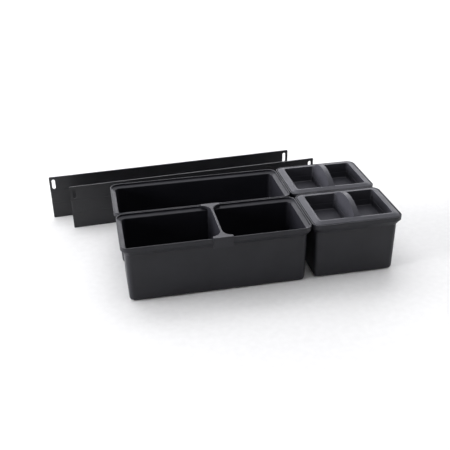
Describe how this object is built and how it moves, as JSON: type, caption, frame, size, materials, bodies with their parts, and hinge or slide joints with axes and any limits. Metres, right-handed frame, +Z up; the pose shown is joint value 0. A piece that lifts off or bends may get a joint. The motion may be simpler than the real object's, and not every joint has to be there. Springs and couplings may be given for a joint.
{
  "type": "drawer bin set",
  "caption": "Open rectangular bins with flared rims, lidded half-length bins with arched grips, a hanging divider and slotted rails.",
  "frame": {"origin": "centre of the front large bin's underside", "axes": "+X along the large bins towards the lidded small bins, +Y towards the rear bins and the rails, +Z up"},
  "size_m": [0.9006, 0.5666, 0.1896],
  "materials": {
    "bin_plastic": "fine-grained matte moulding",
    "lid_plastic": "fine-grained matte moulding",
    "divider_plastic": "fine-grained matte moulding",
    "rail_metal": "satin black powder coat"
  },
  "bodies": {
    "large_bin_front": {"large_bin_front": "bin_plastic"},
    "large_bin_rear": {"large_bin_rear": "bin_plastic"},
    "small_bin_front": {"small_bin_front": "bin_plastic"},
    "small_bin_rear": {"small_bin_rear": "bin_plastic"},
    "lid_front": {"lid_front": "lid_plastic"},
    "lid_rear": {"lid_rear": "lid_plastic"},
    "divider": {"divider": "divider_plastic"},
    "rail_front": {"rail_front": "rail_metal"},
    "rail_rear": {"rail_rear": "rail_metal"}
  },
  "joints": [
    {"name": "large_bin_rear_lift", "type": "slide", "parent": "large_bin_front", "child": "large_bin_rear", "axis": [0, 0, 1], "range_m": [0, 0.2]},
    {"name": "small_bin_front_lift", "type": "slide", "parent": "large_bin_front", "child": "small_bin_front", "axis": [0, 0, 1], "range_m": [0, 0.2]},
    {"name": "small_bin_rear_lift", "type": "slide", "parent": "large_bin_front", "child": "small_bin_rear", "axis": [0, 0, 1], "range_m": [0, 0.2]},
    {"name": "lid_front_lift", "type": "slide", "parent": "small_bin_front", "child": "lid_front", "axis": [0, 0, 1], "range_m": [0, 0.1]},
    {"name": "lid_rear_lift", "type": "slide", "parent": "small_bin_rear", "child": "lid_rear", "axis": [0, 0, 1], "range_m": [0, 0.1]},
    {"name": "divider_lift", "type": "slide", "parent": "large_bin_front", "child": "divider", "axis": [0, 0, 1], "range_m": [0, 0.2]},
    {"name": "rail_front_lift", "type": "slide", "parent": "large_bin_front", "child": "rail_front", "axis": [0, 0, 1], "range_m": [0, 0.17]},
    {"name": "rail_rear_lift", "type": "slide", "parent": "large_bin_front", "child": "rail_rear", "axis": [0, 0, 1], "range_m": [0, 0.17]}
  ]
}
